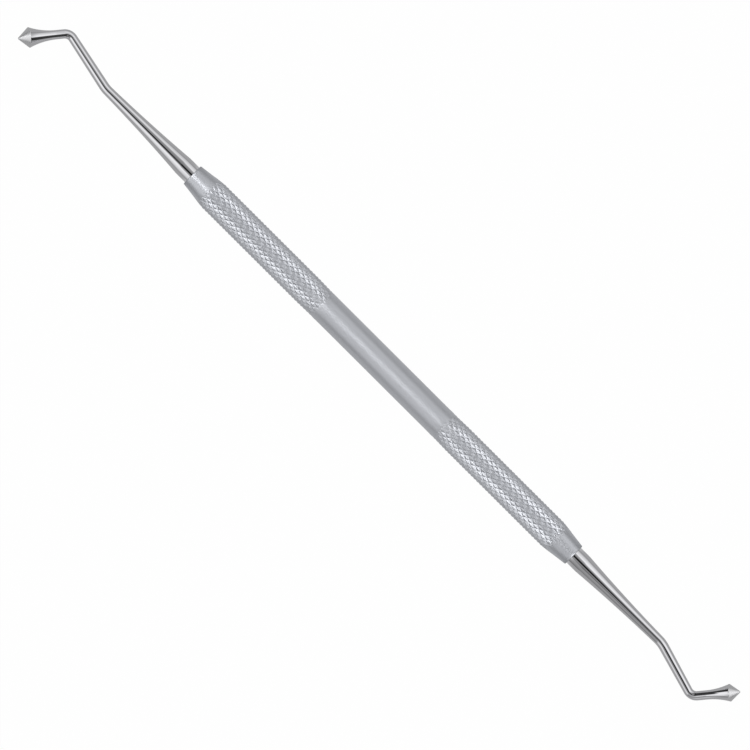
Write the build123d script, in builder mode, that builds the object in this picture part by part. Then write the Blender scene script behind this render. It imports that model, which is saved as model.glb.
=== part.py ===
from build123d import *

import os
from math import asin, atan2, cos, degrees, hypot, pi, radians, sin, sqrt, tan

# A double-ended dental burnisher: a turned and knurled handle with a bent working end pressed
# into each of its ends. Millimetres. +X runs along the handle's axis to the small cone, the
# origin is the middle of the handle on its axis, and the burnisher lies on a table below it, +Z up.

# Handle
HANDLE_LENGTH = 97.5
GRIP_DIAMETER = 5.7  # the plain turned middle
GRIP_LENGTH = 30.4
HANDLE_END_DIAMETER = 4.45  # the small end of each end taper
END_TAPER_LENGTH = 6.0  # from the end face to where the taper reaches the knurl's crests
END_CHAMFER = 0.12  # on the outer edge of each end face

# Diamond knurl, rolled in two bands, one on each side of the grip
KNURL_DIAMETER = 6.0  # over the crests
KNURL_DEPTH = 0.26
KNURL_STARTS = 18  # grooves of each hand
KNURL_PITCH = 1.47  # between grooves of one hand, along the handle
KNURL_RUN_IN = 4.0  # the crests rise to their full height over this length
KNURL_STEP = 0.02  # how far the band's edge stands proud of the turned surface beside it

# Bores for the tangs, one in each end of the handle
BORE_DIAMETER = 3.0
BORE_DEPTH = 12.0
DRILL_ANGLE = 118.0  # included angle of the bore's drilled bottom
TANG_CLEARANCE = 0.01  # on the radius
TANG_END_GAP = 0.4  # left between the tang's end and the bore's full depth
TANG_CHAMFER = 0.3

# What both working ends share
COLLAR_DIAMETER = 3.74  # the shank where it leaves the handle
COLLAR_LENGTH = 2.3
ROD_DIAMETER = 1.75  # from the shank's thin end, through both bends, to the flare
SHANK_HOLLOW = 0.11  # how far the shank's taper dips below a straight line
FIRST_BEND_RADIUS = 6.0
SECOND_BEND_RADIUS = 1.7
FLARE_RADIUS = 13.0  # the hollow flare from the rod to the cone's rim
RIM_LAND = 0.08  # the rim's narrow turned band, where flare and cone would meet in an edge
CONE_TIP_RADIUS = 0.2

# Large working end: lengths from the handle's end face to the first bend, on to the second
# bend, and on to the rim; both angles are from the handle's axis, to opposite sides of it
LARGE_SHANK_LENGTH = 22.1
LARGE_LEG_LENGTH = 12.0
LARGE_HEAD_LENGTH = 7.55
LARGE_LEG_ANGLE = 12.6
LARGE_HEAD_ANGLE = 52.2
LARGE_RIM_DIAMETER = 3.73
LARGE_CONE_LENGTH = 2.1

# Small working end
SMALL_SHANK_LENGTH = 22.5
SMALL_LEG_LENGTH = 11.1
SMALL_HEAD_LENGTH = 7.2
SMALL_LEG_ANGLE = 17.0
SMALL_HEAD_ANGLE = 51.8
SMALL_RIM_DIAMETER = 3.2
SMALL_CONE_LENGTH = 1.94

# The heads point to opposite sides of the handle, and both lean this much up from the table, in
# degrees round the handle's axis. The knurl alone touches the table, on two rows of its crests.
HEAD_LEAN = 17.0

handle_half = HANDLE_LENGTH / 2
grip_half = GRIP_LENGTH / 2
grip_radius = GRIP_DIAMETER / 2
crest_radius = KNURL_DIAMETER / 2
root_radius = crest_radius - KNURL_DEPTH
end_radius = HANDLE_END_DIAMETER / 2
taper_slope = (crest_radius - end_radius) / END_TAPER_LENGTH
bore_radius = BORE_DIAMETER / 2
rod_radius = ROD_DIAMETER / 2
tang_radius = bore_radius - TANG_CLEARANCE
tang_end = TANG_END_GAP - BORE_DEPTH

# The knurl's rings of points are half a pitch apart. The last one lies where the end taper
# has cut right through the grooves.
ring_spacing = KNURL_PITCH / 2
grooves_end = handle_half - (root_radius - end_radius) / taper_slope
ring_count = int((grooves_end - grip_half) / ring_spacing) + 1
band_end = grip_half + ring_count * ring_spacing
row_angle = pi / KNURL_STARTS  # between rows of crests round the handle


def taper_radius(x):
    """The end taper's radius at x."""
    return end_radius + (handle_half - x) * taper_slope


def knurl_radius(ring, is_crest):
    """The radius of the knurl's points on one ring: the crests, or the groove crossings between."""
    x = grip_half + ring * ring_spacing
    if ring == 0:
        return (grip_radius + KNURL_STEP) / cos(row_angle / 2)
    if ring == ring_count:
        return (taper_radius(x) + KNURL_STEP) / cos(row_angle / 2)
    risen = min(1, (x - grip_half) / KNURL_RUN_IN)
    crest = grip_radius + KNURL_STEP + (crest_radius - grip_radius - KNURL_STEP) * risen
    return min(crest if is_crest else root_radius, taper_radius(x) + KNURL_STEP)


def knurl_point(ring, row):
    """A point of the knurl: crests and groove crossings alternate along each ring and each row."""
    radius = knurl_radius(ring, (ring + row) % 2 == 1)
    angle = (row + 0.5) * row_angle
    return Vector(grip_half + ring * ring_spacing, radius * cos(angle), radius * sin(angle))


def knurled_bar():
    """A solid bar whose skin is the diamond knurl, each diamond a flat four-sided pyramid."""
    rows = 2 * KNURL_STARTS
    points = [[knurl_point(ring, row) for row in range(rows)] for ring in range(ring_count + 1)]
    facets = [Face(Wire.make_polygon(points[0])), Face(Wire.make_polygon(points[-1]))]
    for ring in range(ring_count):
        for row in range(rows):
            a, b = points[ring][row], points[ring][(row + 1) % rows]
            c, d = points[ring + 1][(row + 1) % rows], points[ring + 1][row]
            # each groove runs between two crossings, so the fold follows that diagonal
            halves = ((a, b, d), (b, c, d)) if (ring + row) % 2 else ((a, b, c), (a, c, d))
            facets += [Face(Wire.make_polygon(half)) for half in halves]
    return Solid(Shell(facets))


# One end of the handle: knurled band, end taper and bore
with BuildPart() as handle_end:
    add(knurled_bar())
    with BuildSketch(Plane.XY):
        with BuildLine():
            Polyline(
                (band_end, 0),
                (band_end, taper_radius(band_end)),
                (handle_half - END_CHAMFER, taper_radius(handle_half - END_CHAMFER)),
                (handle_half, end_radius - END_CHAMFER),
                (handle_half, 0),
                close=True,
            )
        make_face()
    revolve(axis=Axis.X, clean=False)
    with BuildSketch(Plane.XY):
        with BuildLine():
            drill_tip = bore_radius / tan(radians(DRILL_ANGLE / 2))
            Polyline(
                (handle_half, 0),
                (handle_half, bore_radius),
                (handle_half - BORE_DEPTH, bore_radius),
                (handle_half - BORE_DEPTH - drill_tip, 0),
                close=True,
            )
        make_face()
    revolve(axis=Axis.X, mode=Mode.SUBTRACT, clean=False)

with BuildPart() as handle:
    with BuildSketch(Plane.YZ.offset(-grip_half)):
        Circle(grip_radius)
    extrude(amount=GRIP_LENGTH)
    add([handle_end.part, mirror(handle_end.part, about=Plane.YZ, mode=Mode.PRIVATE)], clean=False)


def working_end(shank, leg, head, leg_angle, head_angle, rim_diameter, cone):
    """A polished working end: tang, tapered shank, two bends, flared neck and cone.

    It lies in the XY plane with the handle's end face at x = 0, +X out of the handle and the
    head leaning to +Y. shank, leg and head are the lengths from the end face to the first bend,
    on to the second bend and on to the rim, measured to the corners that the bends round off.
    """
    rim_radius = rim_diameter / 2
    bend = leg_angle + head_angle
    first_cut = FIRST_BEND_RADIUS * tan(radians(leg_angle / 2))  # what each bend takes off its legs
    second_cut = SECOND_BEND_RADIUS * tan(radians(bend / 2))
    rise = rim_radius - rod_radius
    flare = sqrt(2 * FLARE_RADIUS * rise - rise**2)
    rod_start = shank - first_cut

    with BuildPart() as tip:
        # tang, collar and hollow-tapered shank, turned about the handle's axis
        with BuildSketch(Plane.XY):
            with BuildLine():
                taper_foot = (COLLAR_LENGTH, COLLAR_DIAMETER / 2)
                taper_top = (rod_start, rod_radius)
                Polyline(
                    taper_top,
                    (rod_start, 0),
                    (tang_end, 0),
                    (tang_end, tang_radius - TANG_CHAMFER),
                    (tang_end + TANG_CHAMFER, tang_radius),
                    (0, tang_radius),
                    (0, COLLAR_DIAMETER / 2),
                    taper_foot,
                )
                SagittaArc(taper_foot, taper_top, -SHANK_HOLLOW)
            make_face()
        revolve(axis=Axis.X)

        # the thin rod: first bend, leg, second bend and neck
        with BuildLine(Plane.XY, mode=Mode.PRIVATE):
            first = JernArc((rod_start, 0), (1, 0), FIRST_BEND_RADIUS, -leg_angle)
            straight = PolarLine(first @ 1, leg - first_cut - second_cut, -leg_angle)
            second = JernArc(straight @ 1, straight % 1, SECOND_BEND_RADIUS, bend)
            neck = PolarLine(second @ 1, head - second_cut - flare, head_angle)
        with BuildSketch(Plane(first @ 0, z_dir=first % 0)):
            Circle(rod_radius)
        revolve(axis=Axis(first.arc_center, (0, 0, -1)), revolution_arc=leg_angle)
        with BuildSketch(Plane(straight @ 0, z_dir=straight % 0)):
            Circle(rod_radius)
        extrude(amount=straight.length)
        with BuildSketch(Plane(second @ 0, z_dir=second % 0)):
            Circle(rod_radius)
        revolve(axis=Axis(second.arc_center, (0, 0, 1)), revolution_arc=bend)
        with BuildSketch(Plane(neck @ 0, z_dir=neck % 0)):
            Circle(rod_radius)
        extrude(amount=neck.length)

        # flare and cone, turned about the neck's axis from the plane of the neck's end
        neck_axis = Plane(neck @ 1, x_dir=neck % 1, z_dir=(0, 0, 1))
        base = flare + RIM_LAND
        ball = flare + cone - CONE_TIP_RADIUS  # the centre of the cone's rounded tip
        slant = atan2(rim_radius, ball - base) - asin(CONE_TIP_RADIUS / hypot(rim_radius, ball - base))
        with BuildSketch(neck_axis):
            with BuildLine():
                JernArc((0, rod_radius), (1, 0), FLARE_RADIUS, degrees(asin(flare / FLARE_RADIUS)))
                face_end = Vector(ball + CONE_TIP_RADIUS * sin(slant), CONE_TIP_RADIUS * cos(slant))
                Polyline((flare, rim_radius), (base, rim_radius), face_end)
                CenterArc((ball, 0), CONE_TIP_RADIUS, 0, 90 - degrees(slant))
                Polyline((ball + CONE_TIP_RADIUS, 0), (0, 0), (0, rod_radius))
            make_face()
        revolve(axis=Axis(neck_axis.origin, neck_axis.x_dir))
    return tip.part


def bend_plane(side, turn):
    """The plane that an end is bent in, with X out of the handle on side -1 or 1 and Y to the
    side that the head leans to, turn degrees round the handle's axis from +Y."""
    out = Vector(side, 0, 0)
    lean = Vector(0, cos(radians(turn)), sin(radians(turn)))
    return Plane((side * handle_half, 0, 0), x_dir=out, z_dir=out.cross(lean))


large_end = working_end(
    LARGE_SHANK_LENGTH,
    LARGE_LEG_LENGTH,
    LARGE_HEAD_LENGTH,
    LARGE_LEG_ANGLE,
    LARGE_HEAD_ANGLE,
    LARGE_RIM_DIAMETER,
    LARGE_CONE_LENGTH,
)
small_end = working_end(
    SMALL_SHANK_LENGTH,
    SMALL_LEG_LENGTH,
    SMALL_HEAD_LENGTH,
    SMALL_LEG_ANGLE,
    SMALL_HEAD_ANGLE,
    SMALL_RIM_DIAMETER,
    SMALL_CONE_LENGTH,
)

with BuildPart() as large_cone_tip:
    add(bend_plane(-1, 180 - HEAD_LEAN) * large_end)
with BuildPart() as small_cone_tip:
    add(bend_plane(1, HEAD_LEAN) * small_end)

os.makedirs("parts", exist_ok=True)
handle.part.label = "handle"
large_cone_tip.part.label = "large_cone_tip"
small_cone_tip.part.label = "small_cone_tip"
export_step(handle.part, "parts/handle.step")
export_step(large_cone_tip.part, "parts/large_cone_tip.step")
export_step(small_cone_tip.part, "parts/small_cone_tip.step")
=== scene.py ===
"""Looks of a double-ended dental burnisher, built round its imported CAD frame."""

import logging
import math
from dataclasses import dataclass, field
from enum import Enum

import bmesh
import bpy
from mathutils import Matrix, Vector


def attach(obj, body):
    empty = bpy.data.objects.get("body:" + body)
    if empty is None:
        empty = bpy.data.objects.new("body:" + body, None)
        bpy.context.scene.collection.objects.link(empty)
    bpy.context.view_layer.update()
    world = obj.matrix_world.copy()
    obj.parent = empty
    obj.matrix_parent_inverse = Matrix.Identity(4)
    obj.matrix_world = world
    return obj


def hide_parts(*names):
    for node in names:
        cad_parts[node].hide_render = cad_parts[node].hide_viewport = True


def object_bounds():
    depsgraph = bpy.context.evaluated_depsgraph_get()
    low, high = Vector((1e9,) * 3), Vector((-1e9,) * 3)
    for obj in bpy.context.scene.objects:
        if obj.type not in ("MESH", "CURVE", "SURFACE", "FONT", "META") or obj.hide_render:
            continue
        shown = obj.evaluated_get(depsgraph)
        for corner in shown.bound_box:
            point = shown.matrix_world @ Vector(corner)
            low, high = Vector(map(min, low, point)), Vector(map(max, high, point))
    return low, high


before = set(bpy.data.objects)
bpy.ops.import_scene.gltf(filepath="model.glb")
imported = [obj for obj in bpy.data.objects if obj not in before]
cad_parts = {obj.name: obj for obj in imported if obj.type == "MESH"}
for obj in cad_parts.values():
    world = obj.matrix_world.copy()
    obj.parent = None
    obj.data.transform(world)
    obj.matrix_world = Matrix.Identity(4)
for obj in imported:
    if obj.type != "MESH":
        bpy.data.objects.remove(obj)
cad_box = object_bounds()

log = logging.getLogger("burnisher")

MM = 0.001
TOUCHING = 0.001 * MM  # points nearer to each other than this are one
HORIZON = 90.0  # degrees from straight up


class Side(Enum):
    """The end of the handle that something is on, as the sign of X."""

    LARGE = -1
    SMALL = 1


class LinedUp(Enum):
    """What a light, a flag or the camera lines up with, as degrees from +X to its side."""

    WITH_HANDLE = 0.0
    WITH_PICTURE = 44.903  # the handle slopes down to the right by this much in the picture

    def directions(self) -> tuple[Vector, Vector]:
        """Find the level directions that it stands for.

        Returns:
            The direction to the side and the one to the end.
        """
        turn = math.radians(self.value)
        side = Vector((math.cos(turn), math.sin(turn), 0))
        end = Vector((-math.sin(turn), math.cos(turn), 0))
        return side, end


def shares(count: int) -> list[float]:
    """Even steps from 0 up to 1, without the 0."""
    return [i / count for i in range(1, count + 1)]


def linear(hex_colour: str) -> tuple[float, float, float, float]:
    """Turn an sRGB hex colour into linear RGBA.

    Args:
        hex_colour: six hex digits.

    Returns:
        The linear colour with an alpha of 1.
    """
    levels = [int(hex_colour[i : i + 2], 16) / 255 for i in (0, 2, 4)]
    red, green, blue = (v / 12.92 if v <= 0.04045 else ((v + 0.055) / 1.055) ** 2.4 for v in levels)
    return red, green, blue, 1.0


def add_node(
    tree: bpy.types.NodeTree, kind: str, settings: dict[str, str] | None = None, **inputs: object
) -> bpy.types.Node:
    """Add a node with its settings, socket values and links.

    Args:
        tree: the node tree it goes into.
        kind: the node's type, such as "ShaderNodeMath".
        settings: the node's own properties by name.
        inputs: a value or an output socket for each input, by name with _ for a space, or by
            _number where inputs share a name.

    Returns:
        The new node.
    """
    node = tree.nodes.new(kind)
    for name, value in (settings or {}).items():
        setattr(node, name, value)
    for name, value in inputs.items():
        key = int(name[1:]) if name[1:].isdigit() else name.replace("_", " ")
        if isinstance(value, bpy.types.NodeSocket):
            tree.links.new(value, node.inputs[key])
        else:
            node.inputs[key].default_value = value
    return node


def new_material(name: str) -> tuple[bpy.types.Material, bpy.types.NodeTree, bpy.types.Node]:
    """Make an empty node material.

    Args:
        name: the material's name.

    Returns:
        The material, its node tree and its output node.
    """
    material = bpy.data.materials.new(name)
    material.use_nodes = True
    material.node_tree.nodes.clear()
    return material, material.node_tree, material.node_tree.nodes.new("ShaderNodeOutputMaterial")


def finish_mesh(
    bm: bmesh.types.BMesh, name: str, sharp_angle: float, *materials: bpy.types.Material
) -> bpy.types.Object:
    """Turn a closed bmesh into a smooth-shaded object at the origin.

    Args:
        bm: the bmesh, freed here.
        name: the object's name.
        sharp_angle: edges that fold by more than this many degrees stay crisp.
        materials: its finishes, in the order of the faces' material numbers.

    Returns:
        The object, linked to the scene.
    """
    bmesh.ops.recalc_face_normals(bm, faces=bm.faces[:])
    for face in bm.faces:
        face.smooth = True
    for edge in bm.edges:
        folds = len(edge.link_faces) == 2
        edge.smooth = not folds or edge.calc_face_angle(0) < math.radians(sharp_angle)
    mesh = bpy.data.meshes.new(name)
    bm.to_mesh(mesh)
    bm.free()
    for material in materials:
        mesh.materials.append(material)
    piece = bpy.data.objects.new(name, mesh)
    bpy.context.scene.collection.objects.link(piece)
    return piece


@dataclass(frozen=True)
class Grain:
    """A noise pattern: the width of its grains in metres, and how finely it is drawn."""

    width: float
    detail: float = 2.0
    roughness: float = 0.5


@dataclass(frozen=True)
class Steel:
    """Bare stainless steel with one finish. The wear makes it glossier or duller in patches, and
    the relief is what the finishing left in its surface."""

    name: str
    colour: str
    roughness: float
    glossier: float  # how far the wear takes the roughness down
    duller: float  # and how far up
    wear: Grain
    relief: Grain
    relief_depth: float
    relief_strength: float
    noise_range: tuple[float, float] = (0.3, 0.7)  # nearly all of a noise's values lie in it

    def make(self) -> bpy.types.Material:
        """Build the material on Object coordinates.

        Returns:
            The material.
        """
        material, tree, output = new_material(self.name)
        place = add_node(tree, "ShaderNodeTexCoord").outputs["Object"]
        wear, relief = (
            add_node(
                tree, "ShaderNodeTexNoise", Vector=place, Scale=1 / grain.width,
                Detail=grain.detail, Roughness=grain.roughness,
            ).outputs["Fac"]
            for grain in (self.wear, self.relief)
        )
        low, high = self.noise_range
        worn = add_node(
            tree, "ShaderNodeMapRange", Value=wear, From_Min=low, From_Max=high,
            To_Min=self.roughness - self.glossier, To_Max=self.roughness + self.duller,
        )
        bump = add_node(
            tree, "ShaderNodeBump", Strength=self.relief_strength, Distance=self.relief_depth,
            Height=relief,
        )
        shader = add_node(
            tree, "ShaderNodeBsdfPrincipled", Base_Color=linear(self.colour), Metallic=1.0,
            Roughness=worn.outputs["Result"], Normal=bump.outputs["Normal"],
        )
        tree.links.new(shader.outputs["BSDF"], output.inputs["Surface"])
        return material


@dataclass(frozen=True)
class SatinSteel(Steel):
    """Bead-blasted stainless steel, on the handle: an even grey sheen that blurs every light, from
    the fine dents that the beads leave."""

    name: str = "bead_blasted_stainless_steel"
    colour: str = "BCBEC3"
    roughness: float = 0.42
    glossier: float = 0.03
    duller: float = 0.03
    wear: Grain = Grain(6 * MM, 3.0, 0.55)
    # drawn about twice as coarse as the real dents, so that they show
    relief: Grain = Grain(0.12 * MM, 2.0, 0.6)
    relief_depth: float = 0.0025 * MM
    relief_strength: float = 0.1


@dataclass(frozen=True)
class MirrorSteel(Steel):
    """Mirror-polished stainless steel, on the working ends: reflects its surroundings sharply, with
    a trace of haze and waviness from the buffing."""

    name: str = "mirror_polished_stainless_steel"
    colour: str = "DFDFE2"
    roughness: float = 0.06
    glossier: float = 0.02
    duller: float = 0.03
    wear: Grain = Grain(3 * MM)
    relief: Grain = Grain(0.4 * MM, 1.0)
    relief_depth: float = 0.0015 * MM
    relief_strength: float = 0.3


@dataclass(frozen=True)
class GroundSteel(Steel):
    """Finely ground stainless steel, on the cones' working faces: grey-white, with a grain too fine
    to see singly that spreads each reflection into a soft glow."""

    name: str = "fine_ground_stainless_steel"
    colour: str = "E2E2E4"
    roughness: float = 0.34
    glossier: float = 0.02
    duller: float = 0.02
    wear: Grain = Grain(0.08 * MM)
    relief: Grain = Grain(0.08 * MM)
    relief_depth: float = 0.001 * MM
    relief_strength: float = 0.2


@dataclass
class Handle:
    """The turned handle with its two knurled bands. Sizes in millimetres, angles in degrees."""

    finish: SatinSteel
    length: float = 97.5
    grip_radius: float = 2.85
    grip_half: float = 15.2
    end_radius: float = 2.225
    end_taper: float = 6.0
    end_edge: float = 0.12
    crest_radius: float = 3.0
    knurl_depth: float = 0.26
    knurl_starts: int = 18
    knurl_pitch: float = 1.47
    knurl_run_in: float = 4.0  # the crests rise from the grip over this length
    knurl_step: float = 0.02  # its height over the grip where it begins, and over the end tapers
    crest_flat: float = 0.9  # the share of the full height at which the crests round over
    crest_slope: float = 0.45  # the share of their slope that is left above that
    bore_radius: float = 1.5
    bore_depth: float = 12.0
    drill_angle: float = 118.0
    sharp_angle: float = 25.0
    cell_steps: int = 4  # mesh steps from a diamond's middle to its corner
    grip_rings: int = 10
    taper_rings: int = 8
    edge_rings: int = 3

    def taper_slope(self) -> float:
        """How much the end taper's radius grows with each millimetre towards the grip."""
        return (self.crest_radius - self.end_radius) / self.end_taper

    def taper_radius(self, x: float) -> float:
        """The end taper's radius at x."""
        return self.end_radius + (self.length / 2 - x) * self.taper_slope()

    def band_rings(self) -> int:
        """Count how many half pitches the knurled band is long.

        Returns:
            The least number that takes its grooves out through the end taper.
        """
        root_radius = self.crest_radius - self.knurl_depth
        grooves_end = self.length / 2 - (root_radius - self.end_radius) / self.taper_slope()
        return int((grooves_end - self.grip_half) / (self.knurl_pitch / 2)) + 1

    def band_end(self) -> float:
        """How far the knurled band reaches from the handle's middle."""
        return self.grip_half + self.band_rings() * self.knurl_pitch / 2

    def knurl_radius(self, x: float, angle: float) -> float:
        """The knurl's radius at a place on its band.

        Args:
            x: distance from the handle's middle, in millimetres.
            angle: round the handle from +Y, in radians.

        Returns:
            The radius in millimetres.
        """
        ring = (x - self.grip_half) / (self.knurl_pitch / 2)
        row = angle * self.knurl_starts / math.pi - 0.5
        left = abs((ring + row + 1) % 2 - 1)  # 0 in a groove of one hand, 1 midway between two
        right = abs((ring - row + 1) % 2 - 1)
        height = min(left, right)
        if height > self.crest_flat:
            height = self.crest_flat + (height - self.crest_flat) * self.crest_slope
        start = self.grip_radius + self.knurl_step
        run_in = min(1, ring * self.knurl_pitch / 2 / self.knurl_run_in)
        crest = start + (self.crest_radius - start) * run_in
        root = start + (self.crest_radius - self.knurl_depth - start) * min(1, ring)
        return min(root + (crest - root) * height, self.taper_radius(x) + self.knurl_step)

    def profile(self) -> list[tuple[float, float]]:
        """Draw the half profile from the middle of the grip round to the bore's drilled bottom.

        Returns:
            The distance from the handle's middle and the radius at each corner, in millimetres.
        """
        half = self.length / 2
        grip = [
            (self.grip_half * share, self.grip_radius) for share in (0.0, *shares(self.grip_rings))
        ]
        spacing = self.knurl_pitch / 2 / self.cell_steps
        band = [
            (self.grip_half + i * spacing, self.crest_radius)
            for i in range(1, self.band_rings() * self.cell_steps + 1)
        ]
        start, land = self.band_end(), half - self.end_edge
        along = [start + (land - start) * share for share in (0.0, *shares(self.taper_rings))]
        taper = [(x, self.taper_radius(x)) for x in along]
        edge = [
            (
                half - self.end_edge * (1 - math.sin(turn)),
                self.end_radius - self.end_edge * (1 - math.cos(turn)),
            )
            for turn in (math.pi / 2 * share for share in shares(self.edge_rings))
        ]
        drill_tip = self.bore_radius / math.tan(math.radians(self.drill_angle / 2))
        bore = [
            (half, self.bore_radius),
            (half - self.bore_depth, self.bore_radius),
            (half - self.bore_depth - drill_tip, 0.0),
        ]
        return grip + band + taper + edge + bore

    def build(self) -> bpy.types.Object:
        """Spin the profile, press the diamonds into both bands, and put the piece on its body.

        Returns:
            The handle.
        """
        right = self.profile()
        path = [(-x, r) for x, r in reversed(right[1:])] + right
        bm = bmesh.new()
        corners = [bm.verts.new((x * MM, r * MM, 0)) for x, r in path]
        edges = [bm.edges.new(pair) for pair in zip(corners, corners[1:])]
        bmesh.ops.spin(
            bm, geom=corners + edges, cent=(0, 0, 0), axis=(1, 0, 0), dvec=(0, 0, 0),
            angle=2 * math.pi, steps=2 * self.knurl_starts * self.cell_steps, use_merge=True,
            use_duplicate=False,
        )
        bmesh.ops.remove_doubles(bm, verts=bm.verts[:], dist=TOUCHING)
        first, last = self.grip_half * MM - TOUCHING, self.band_end() * MM + TOUCHING
        mid_wall = (self.bore_radius + self.end_radius) / 2 * MM
        knurled = [
            v for v in bm.verts if first < abs(v.co.x) < last and v.co.yz.length > mid_wall
        ]
        for v in knurled:
            radius = self.knurl_radius(abs(v.co.x) / MM, math.atan2(v.co.z, v.co.y)) * MM
            v.co.yz = v.co.yz.normalized() * radius
        self.fold_along_grooves(bm, set(knurled))
        piece = finish_mesh(bm, "handle_knurled", self.sharp_angle, self.finish.make())
        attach(piece, "root")
        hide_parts("handle")
        return piece

    def fold_along_grooves(self, bm: bmesh.types.BMesh, knurled: set[bmesh.types.BMVert]) -> None:
        """Split the bands' squares along the lower diagonal, which keeps the grooves straight.

        Args:
            bm: the handle's bmesh.
            knurled: the vertices of both bands.
        """
        squares = [f for f in bm.faces if len(f.verts) == 4 and knurled.issuperset(f.verts)]
        for face in squares:
            a, b, c, d = face.verts
            one = a.co.yz.length + c.co.yz.length
            other = b.co.yz.length + d.co.yz.length
            first, second = (a, c) if one < other else (b, d)
            bmesh.utils.face_split(face, first, second)


@dataclass
class Centreline:
    """A walk along a bent centreline that notes the skin's rings on its way: for each its centre's
    x and y, the heading there and its radius. Millimetres, and radians from +X."""

    x: float
    y: float = 0.0
    heading: float = 0.0
    rings: list[tuple[float, float, float, float]] = field(default_factory=list)

    def ring(self, radius: float) -> None:
        """Note a ring where the walk has come to."""
        self.rings.append((self.x, self.y, self.heading, radius))

    def ahead(self, distance: float) -> None:
        """Walk straight ahead."""
        self.x += distance * math.cos(self.heading)
        self.y += distance * math.sin(self.heading)

    def run(self, length: float, radii: list[float]) -> None:
        """Walk straight ahead in even steps, with a ring after each.

        Args:
            length: how far it is in all.
            radii: the rings' radii.
        """
        for radius in radii:
            self.ahead(length / len(radii))
            self.ring(radius)

    def bend(self, turn: float, bend_radius: float, radii: list[float]) -> None:
        """Walk round a bend in even steps, with a ring after each.

        Args:
            turn: how far it turns in all, over 0 to the left.
            bend_radius: the bend's own radius.
            radii: the rings' radii.
        """
        step = turn / len(radii)
        for radius in radii:
            self.heading += step / 2
            self.ahead(2 * bend_radius * math.sin(abs(step) / 2))
            self.heading += step / 2
            self.ring(radius)


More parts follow.
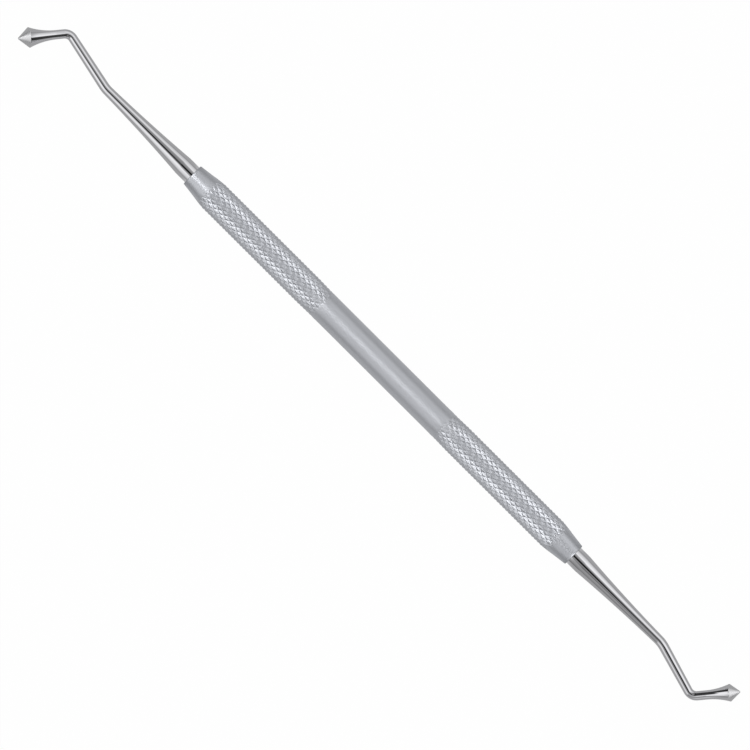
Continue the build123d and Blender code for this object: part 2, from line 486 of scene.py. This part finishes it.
@dataclass
class WorkingEnd:
    """A polished working end, from tang to cone. Sizes in millimetres, angles in degrees."""

    name: str
    side: Side
    finish: MirrorSteel
    cone_finish: GroundSteel
    shank_length: float
    leg_length: float
    head_length: float
    leg_angle: float  # to one side of the handle's line
    head_angle: float  # to the other side of it
    rim_radius: float
    cone_length: float
    head_lean: float = 17.0
    handle_half: float = 48.75  # from the handle's middle to its end face, where the collar sits
    tang_length: float = 11.6
    tang_radius: float = 1.49
    tang_chamfer: float = 0.3
    collar_radius: float = 1.87
    collar_length: float = 2.3
    shank_small_radius: float = 0.93
    shank_hollow: float = 0.14  # how far halfway along it lies under a straight taper
    neck_radius: float = 0.845
    first_bend: float = 6.0
    second_bend: float = 1.7
    flare_radius: float = 13.0
    rim_land: float = 0.08
    cone_tip_radius: float = 0.2
    sharp_angle: float = 14.0
    segments: int = 72
    shank_rings: int = 40
    first_bend_rings: int = 8
    leg_rings: int = 10
    second_bend_rings: int = 20
    flare_rings: int = 24
    cone_rings: int = 8
    ball_rings: int = 6

    def shank_radius(self, share: float) -> float:
        """The hollow-tapered shank's radius at a share of its way from the collar to the bend."""
        straight = self.collar_radius + (self.shank_small_radius - self.collar_radius) * share
        return straight - 4 * self.shank_hollow * share * (1 - share)

    def leg_radius(self, share: float) -> float:
        """The leg's radius at a share of its way from the first bend to the second."""
        return self.shank_small_radius + (self.neck_radius - self.shank_small_radius) * share

    def centreline(self) -> Centreline:
        """Walk from the tang's end to the cone's tip, in the plane of the bends.

        Returns:
            The walk, with the rings of the whole skin.
        """
        leg_turn = math.radians(self.leg_angle)
        head_turn = math.radians(self.leg_angle + self.head_angle)
        first_cut = self.first_bend * math.tan(leg_turn / 2)
        second_cut = self.second_bend * math.tan(head_turn / 2)
        rise = self.rim_radius - self.neck_radius
        flare = math.sqrt(2 * self.flare_radius * rise - rise**2)

        walk = Centreline(-self.tang_length)
        walk.ring(self.tang_radius - self.tang_chamfer)
        walk.run(self.tang_chamfer, [self.tang_radius])
        walk.run(self.tang_length - self.tang_chamfer, [self.tang_radius])
        walk.ring(self.collar_radius)
        walk.run(self.collar_length, [self.collar_radius])
        walk.run(
            self.shank_length - self.collar_length - first_cut,
            [self.shank_radius(share) for share in shares(self.shank_rings)],
        )
        walk.bend(-leg_turn, self.first_bend, [self.shank_small_radius] * self.first_bend_rings)
        walk.run(
            self.leg_length - first_cut - second_cut,
            [self.leg_radius(share) for share in shares(self.leg_rings)],
        )
        walk.bend(head_turn, self.second_bend, [self.neck_radius] * self.second_bend_rings)
        walk.run(self.head_length - second_cut - flare, [self.neck_radius])
        hub = self.neck_radius + self.flare_radius  # the flare's arc is drawn from out here
        walk.run(
            flare,
            [
                hub - math.sqrt(self.flare_radius**2 - (flare * share) ** 2)
                for share in shares(self.flare_rings)
            ],
        )
        walk.run(self.rim_land, [self.rim_radius])
        self.walk_cone(walk)
        return walk

    def walk_cone(self, walk: Centreline) -> None:
        """Walk from the rim to the cone's rounded tip.

        Args:
            walk: the walk so far.
        """
        reach = self.cone_length - self.rim_land - self.cone_tip_radius
        slant = math.atan2(self.rim_radius, reach) - math.asin(
            self.cone_tip_radius / math.hypot(self.rim_radius, reach)
        )
        along = reach + self.cone_tip_radius * math.sin(slant)
        edge = self.cone_tip_radius * math.cos(slant)
        narrowing = self.rim_radius - edge
        walk.run(
            along, [self.rim_radius - narrowing * share for share in shares(self.cone_rings)]
        )
        for share in shares(self.ball_rings + 1)[:-1]:
            turn = slant + (math.pi / 2 - slant) * share
            further = reach + self.cone_tip_radius * math.sin(turn)
            walk.run(further - along, [self.cone_tip_radius * math.cos(turn)])
            along = further

    def place(self) -> Matrix:
        """Work out where the plane of the bends stands in the burnisher's own frame.

        Returns:
            The matrix from the one to the other.
        """
        turn = math.radians(self.head_lean if self.side is Side.SMALL else 180 - self.head_lean)
        out = Vector((self.side.value, 0, 0))
        lean = Vector((0, math.cos(turn), math.sin(turn)))
        matrix = Matrix((out, lean, out.cross(lean))).transposed().to_4x4()
        matrix.translation = out * self.handle_half * MM
        return matrix

    def build(self) -> bpy.types.Object:
        """Draw the skin out ring by ring along the centreline, and put the piece on its body.

        Returns:
            The working end.
        """
        bm = bmesh.new()
        frames = [
            Matrix.Translation((x * MM, y * MM, 0))
            @ Matrix.Rotation(heading, 4, "Z")
            @ Matrix.Rotation(math.pi / 2, 4, "Y")
            @ Matrix.Scale(radius * MM, 4)
            for x, y, heading, radius in self.centreline().rings
        ]
        bmesh.ops.create_circle(
            bm, cap_ends=True, segments=self.segments, radius=1.0, matrix=frames[0]
        )
        loop = bm.edges[:]
        polished, ground = 0, 1  # the finishes' order on the piece
        cone_start = len(frames) - self.cone_rings - self.ball_rings
        for i, (before, after) in enumerate(zip(frames, frames[1:]), 1):
            grown = bmesh.ops.extrude_edge_only(bm, edges=loop)["geom"]
            for face in (g for g in grown if isinstance(g, bmesh.types.BMFace)):
                face.material_index = ground if i >= cone_start else polished
            sides = [g for g in grown if isinstance(g, bmesh.types.BMEdge)]
            loop = [edge for edge in sides if len(edge.link_faces) == 1]
            ring = [g for g in grown if isinstance(g, bmesh.types.BMVert)]
            bmesh.ops.transform(bm, matrix=after @ before.inverted(), verts=ring)
        bmesh.ops.contextual_create(bm, geom=loop, mat_nr=ground)
        bmesh.ops.transform(bm, matrix=self.place(), verts=bm.verts[:])
        finishes = self.finish.make(), self.cone_finish.make()
        piece = finish_mesh(bm, f"{self.name}_polished", self.sharp_angle, *finishes)
        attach(piece, "root")
        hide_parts(self.name)
        return piece


@dataclass(frozen=True)
class Softbox:
    """A flat light high over the table that only one piece picks up. Its edges are in degrees from
    straight up: the sides along the direction that it lines up with, and the ends across that."""

    name: str
    lights: str
    sides: tuple[float, float]
    ends: tuple[float, float]
    radiance: float
    line: LinedUp = LinedUp.WITH_HANDLE
    height: float = 1.0  # metres over the handle's axis

    def hang(self, piece: bpy.types.Object) -> None:
        """Put the light in place.

        Args:
            piece: the piece that it lights.
        """
        x0, x1, y0, y1 = (
            self.height * math.tan(math.radians(angle)) for angle in (*self.sides, *self.ends)
        )
        lamp = bpy.data.lights.new(self.name, "AREA")
        lamp.shape = "RECTANGLE"
        lamp.size, lamp.size_y = x1 - x0, y1 - y0
        lamp.energy = self.radiance * math.pi * lamp.size * lamp.size_y
        holder = bpy.data.objects.new(self.name, lamp)
        turn = Matrix.Rotation(math.radians(self.line.value), 4, "Z")
        middle = Vector(((x0 + x1) / 2, (y0 + y1) / 2, self.height))
        holder.matrix_world = turn @ Matrix.Translation(middle)
        holder.visible_camera = False
        bpy.context.scene.collection.objects.link(holder)
        lit = bpy.data.collections.new(f"lit_by_{self.name}")
        lit.objects.link(piece)
        holder.light_linking.receiver_collection = lit


@dataclass(frozen=True)
class Flag:
    """A dark cloth in the light tent. Its edges are in degrees from straight up, as a softbox's
    are, and soft says over how many degrees its sides and its ends fade."""

    name: str
    sides: tuple[float, float]
    ends: tuple[float, float]
    soft: tuple[float, float]
    shade: float = 0.95  # the share of the light that it takes
    line: LinedUp = LinedUp.WITH_PICTURE


@dataclass
class Studio:
    """The table, the lights and the camera. Sizes in metres unless named otherwise."""

    rests_at: float  # the height of the burnisher's lowest crests
    table_gap: float = 0.01 * MM  # keeps those crests out of the table's plane
    table_half: float = 2.0
    table_colour: str = "E8E8E8"
    # what the steel sees of it: a painted reflection, a grey glow that dims, as painted shade, over
    # this stretch at each end of the handle
    reflected_glow_edge: tuple[float, float] = (47.5 * MM, 50.5 * MM)
    reflected_glow_levels: tuple[float, float] = (0.76, 0.47)
    # the share of that painted reflection in what the steel sees
    reflected_glow_share: float = 0.9
    white_share: float = 0.99  # the rest of what the camera sees keeps the shadow
    view_width: float = 135.75 * MM
    camera_distance: float = 3.0
    sensor_width: float = 36.0  # millimetres
    clip_end: float = 10.0
    look_at: tuple[float, float] = (0.249 * MM, -2.296 * MM)
    softboxes: tuple[Softbox, ...] = (
        Softbox("softbox_over_grip", "handle_knurled", (-9, 7), (-20, 16), 1.8),
        Softbox("softbox_over_left_end", "handle_knurled", (-30, -12), (-9, 3), 4.6),
        Softbox("softbox_left", "handle_knurled", (-56, -30), (-20, 16), 3.3),
        Softbox("softbox_left_back", "handle_knurled", (-54, -30), (12, 36), 1.9),
        Softbox("softbox_right", "handle_knurled", (34, 62), (-26, 20), 3.9),
        Softbox("softbox_right_front", "handle_knurled", (30, 54), (-39, -14), 1.1),
        Softbox("softbox_front", "handle_knurled", (4, 28), (-64, -30), 0.45),
        Softbox("softbox_far_left_back", "handle_knurled", (-58, -30), (38, 66), 0.55),
        Softbox("softbox_far_left_front", "handle_knurled", (-58, -30), (-66, -38), 0.55),
        Softbox("softbox_far_right_back", "handle_knurled", (30, 58), (38, 66), 0.55),
        Softbox("softbox_far_right_front", "handle_knurled", (30, 58), (-66, -38), 0.55),
        Softbox(
            "softbox_large_cone", "large_cone_tip_polished", (-72, -42), (10, 60), 0.75,
            LinedUp.WITH_PICTURE,
        ),
        Softbox(
            "softbox_small_cone", "small_cone_tip_polished", (42, 72), (-60, 2), 1.1,
            LinedUp.WITH_PICTURE,
        ),
    )
    # the tent's brightness by degrees from straight up, to the picture's sides and to its ends
    panel_levels: tuple[tuple[float, float], ...] = (
        (0, 0.3), (8, 0.3), (19, 0.45), (28, 1.12), (58, 1.12), (76, 0.75), (90, 0.66),
    )
    panel_fade: tuple[tuple[float, float], ...] = (
        (0, 1.0), (22, 1.0), (42, 0.82), (62, 0.68), (90, 0.5),
    )
    flags: tuple[Flag, ...] = (
        Flag("below_right", (14, 84), (-70, 0), (10, 12)),
        Flag("above_left", (-46, -14), (-3, 75), (10, 12)),
        Flag("above_far_left", (-84, -42), (28, 75), (10, 12)),
        Flag("front_right", (1, 40), (-85, -26), (5, 12), 0.57, LinedUp.WITH_HANDLE),
        Flag("slit_over_handle", (-11, 22), (-14, 6), (6, 5), line=LinedUp.WITH_HANDLE),
    )

    def camera(self) -> None:
        """Stand the camera straight over the burnisher, with a lens long enough for a flat view."""
        lens = bpy.data.cameras.new("camera")
        lens.sensor_width = self.sensor_width
        lens.lens = self.sensor_width * self.camera_distance / self.view_width
        lens.clip_end = self.clip_end
        camera = bpy.data.objects.new("camera", lens)
        right, up = LinedUp.WITH_PICTURE.directions()
        camera.matrix_world = Matrix((right, up, (0, 0, 1))).transposed().to_4x4()
        camera.location = (*self.look_at, self.camera_distance)
        bpy.context.scene.collection.objects.link(camera)
        bpy.context.scene.camera = camera

    def table_material(self) -> bpy.types.Material:
        """Mix a pale paint that the camera sees as white with a shadow, and the steel as a painted
        reflection: a grey glow, darker beyond the handle's ends.

        Returns:
            The material.
        """
        material, tree, output = new_material("white_table")
        seen = add_node(tree, "ShaderNodeLightPath")
        plain = add_node(tree, "ShaderNodeBsdfDiffuse", Color=linear(self.table_colour))
        white = add_node(tree, "ShaderNodeEmission", Color=(1, 1, 1, 1), Strength=1.0)
        place = add_node(tree, "ShaderNodeTexCoord").outputs["Object"]
        along = add_node(tree, "ShaderNodeSeparateXYZ", Vector=place).outputs["X"]
        off = add_node(tree, "ShaderNodeMath", {"operation": "ABSOLUTE"}, _0=along)
        (first, last), (near, far) = self.reflected_glow_edge, self.reflected_glow_levels
        # painted shade in the reflection: the glow dims beyond each end of the handle
        level = add_node(
            tree, "ShaderNodeMapRange", {"interpolation_type": "SMOOTHSTEP"}, Value=off.outputs[0],
            From_Min=first, From_Max=last, To_Min=near, To_Max=far,
        )
        # painted reflection: a grey glow that only the steel sees, paler under the handle than
        # beyond its ends
        reflected_glow = add_node(
            tree, "ShaderNodeEmission", Color=(1, 1, 1, 1), Strength=level.outputs["Result"]
        )
        mirrored = add_node(
            tree, "ShaderNodeMath", {"operation": "MAXIMUM"}, _0=seen.outputs["Is Glossy Ray"],
            _1=seen.outputs["Is Transmission Ray"],
        )
        to_steel = add_node(
            tree, "ShaderNodeMath", {"operation": "MULTIPLY"}, _0=mirrored.outputs[0],
            _1=self.reflected_glow_share,
        )
        to_camera = add_node(
            tree, "ShaderNodeMath", {"operation": "MULTIPLY"}, _0=seen.outputs["Is Camera Ray"],
            _1=self.white_share,
        )
        lit = add_node(
            tree, "ShaderNodeMixShader", _0=to_steel.outputs[0], _1=plain.outputs[0],
            _2=reflected_glow.outputs[0],
        )
        look = add_node(
            tree, "ShaderNodeMixShader", _0=to_camera.outputs[0], _1=lit.outputs[0],
            _2=white.outputs[0],
        )
        tree.links.new(look.outputs[0], output.inputs["Surface"])
        return material

    def table(self) -> None:
        """Lay the table under the burnisher."""
        material = self.table_material()
        under = Matrix.Translation((0, 0, self.rests_at - self.table_gap))
        bm = bmesh.new()
        bmesh.ops.create_grid(bm, x_segments=1, y_segments=1, size=self.table_half, matrix=under)
        mesh = bpy.data.meshes.new("table")
        bm.to_mesh(mesh)
        bm.free()
        mesh.materials.append(material)
        table = bpy.data.objects.new("table", mesh)
        bpy.context.scene.collection.objects.link(table)

    def surroundings(self) -> None:
        """Put a light tent round the steel: white panels to the left and right of the picture, grey
        above and below it, and the flags before them. The camera sees plain white instead."""
        world = bpy.data.worlds.new("light_tent")
        bpy.context.scene.world = world
        world.use_nodes = True
        tree = world.node_tree
        tree.nodes.clear()
        output = tree.nodes.new("ShaderNodeOutputWorld")
        towards = add_node(tree, "ShaderNodeTexCoord").outputs["Generated"]
        height = add_node(tree, "ShaderNodeSeparateXYZ", Vector=towards).outputs["Z"]

        def lean(direction: Vector) -> bpy.types.NodeSocket:
            """Measure how far a ray leans from straight up.

            Args:
                direction: the level direction that it leans towards.

            Returns:
                The lean in degrees.
            """
            along = add_node(
                tree, "ShaderNodeVectorMath", {"operation": "DOT_PRODUCT"}, _0=towards, _1=direction
            ).outputs["Value"]
            angle = add_node(tree, "ShaderNodeMath", {"operation": "ARCTAN2"}, _0=along, _1=height)
            return add_node(
                tree, "ShaderNodeMath", {"operation": "DEGREES"}, _0=angle.outputs[0]
            ).outputs[0]

        def window(
            value: bpy.types.NodeSocket,
            span: tuple[float, float],
            soft: float,
            inside: bpy.types.NodeSocket | float,
        ) -> bpy.types.NodeSocket:
            """Keep a level where a value lies in a span, and fade it out beyond.

            Args:
                value: what is looked at.
                span: its lowest and its highest value.
                soft: over how much of it each edge fades.
                inside: the level.

            Returns:
                The level in the span and 0 outside it.
            """
            low, high = span
            smooth = {"interpolation_type": "SMOOTHSTEP"}
            rise = add_node(
                tree, "ShaderNodeMapRange", smooth, Value=value, From_Min=low - soft / 2,
                From_Max=low + soft / 2, To_Max=inside,
            )
            fall = add_node(
                tree, "ShaderNodeMapRange", smooth, Value=value, From_Min=high - soft / 2,
                From_Max=high + soft / 2, To_Min=rise.outputs["Result"], To_Max=0.0,
            )
            return fall.outputs["Result"]

        def ramp(
            value: bpy.types.NodeSocket, stops: tuple[tuple[float, float], ...]
        ) -> bpy.types.NodeSocket:
            """Look up a level by how far a ray leans, eased between stops.

            Args:
                value: the lean in degrees, to either side.
                stops: degrees and level at each stop.

            Returns:
                The level.
            """
            off = add_node(tree, "ShaderNodeMath", {"operation": "ABSOLUTE"}, _0=value)
            share = add_node(tree, "ShaderNodeMapRange", Value=off.outputs[0], From_Max=HORIZON)
            levels = add_node(tree, "ShaderNodeValToRGB", Fac=share.outputs["Result"])
            levels.color_ramp.interpolation = "EASE"
            while len(levels.color_ramp.elements) < len(stops):
                levels.color_ramp.elements.new(1.0)
            for element, (degrees, level) in zip(levels.color_ramp.elements, stops):
                element.position = degrees / HORIZON
                element.color = (level, level, level, 1)
            return levels.outputs["Color"]

        leans = {line: [lean(direction) for direction in line.directions()] for line in LinedUp}
        right, up = leans[LinedUp.WITH_PICTURE]
        light = add_node(
            tree, "ShaderNodeMath", {"operation": "MULTIPLY", "label": "panels"},
            _0=ramp(right, self.panel_levels), _1=ramp(up, self.panel_fade),
        )
        for flag in self.flags:
            (side, end), (soft_sides, soft_ends) = leans[flag.line], flag.soft
            shade = window(side, flag.sides, soft_sides, flag.shade)
            shade = window(end, flag.ends, soft_ends, shade)
            passed = add_node(
                tree, "ShaderNodeMath", {"operation": "SUBTRACT", "label": flag.name}, _0=1.0,
                _1=shade,
            )
            light = add_node(
                tree, "ShaderNodeMath", {"operation": "MULTIPLY"}, _0=light.outputs[0],
                _1=passed.outputs[0],
            )
        seen = add_node(tree, "ShaderNodeLightPath")
        tent = add_node(tree, "ShaderNodeBackground", Color=light.outputs[0], Strength=1.0)
        white = add_node(tree, "ShaderNodeBackground", Color=(1, 1, 1, 1), Strength=1.0)
        look = add_node(
            tree, "ShaderNodeMixShader", _0=seen.outputs["Is Camera Ray"], _1=tent.outputs[0],
            _2=white.outputs[0],
        )
        tree.links.new(look.outputs[0], output.inputs["Surface"])

    def build(self, pieces: list[bpy.types.Object]) -> None:
        """Set up the camera, the table, the tent and the softboxes.

        Args:
            pieces: the burnisher's pieces, each lit by its own softboxes.
        """
        self.camera()
        self.table()
        self.surroundings()
        by_name = {piece.name: piece for piece in pieces}
        for softbox in self.softboxes:
            softbox.hang(by_name[softbox.lights])
        bpy.context.scene.view_settings.view_transform = "Standard"


def main() -> None:
    """Build the burnisher's pieces and the studio round them, in order."""
    logging.basicConfig(level=logging.INFO, format="%(name)s: %(message)s")
    polished, ground = MirrorSteel(), GroundSteel()
    parts = [
        Handle(SatinSteel()),
        WorkingEnd(
            "large_cone_tip", Side.LARGE, polished, ground, shank_length=22.1, leg_length=12.0,
            head_length=7.55, leg_angle=12.6, head_angle=52.2, rim_radius=1.865, cone_length=2.1,
        ),
        WorkingEnd(
            "small_cone_tip", Side.SMALL, polished, ground, shank_length=22.5, leg_length=11.1,
            head_length=7.2, leg_angle=17.0, head_angle=51.8, rim_radius=1.6, cone_length=1.94,
        ),
    ]
    pieces = [part.build() for part in parts]
    for piece in pieces:
        triangles = sum(len(p.vertices) - 2 for p in piece.data.polygons)
        log.info("%s: %d triangles", piece.name, triangles)
    Studio(rests_at=cad_box[0].z).build(pieces)


if __name__ == "__main__":
    main()
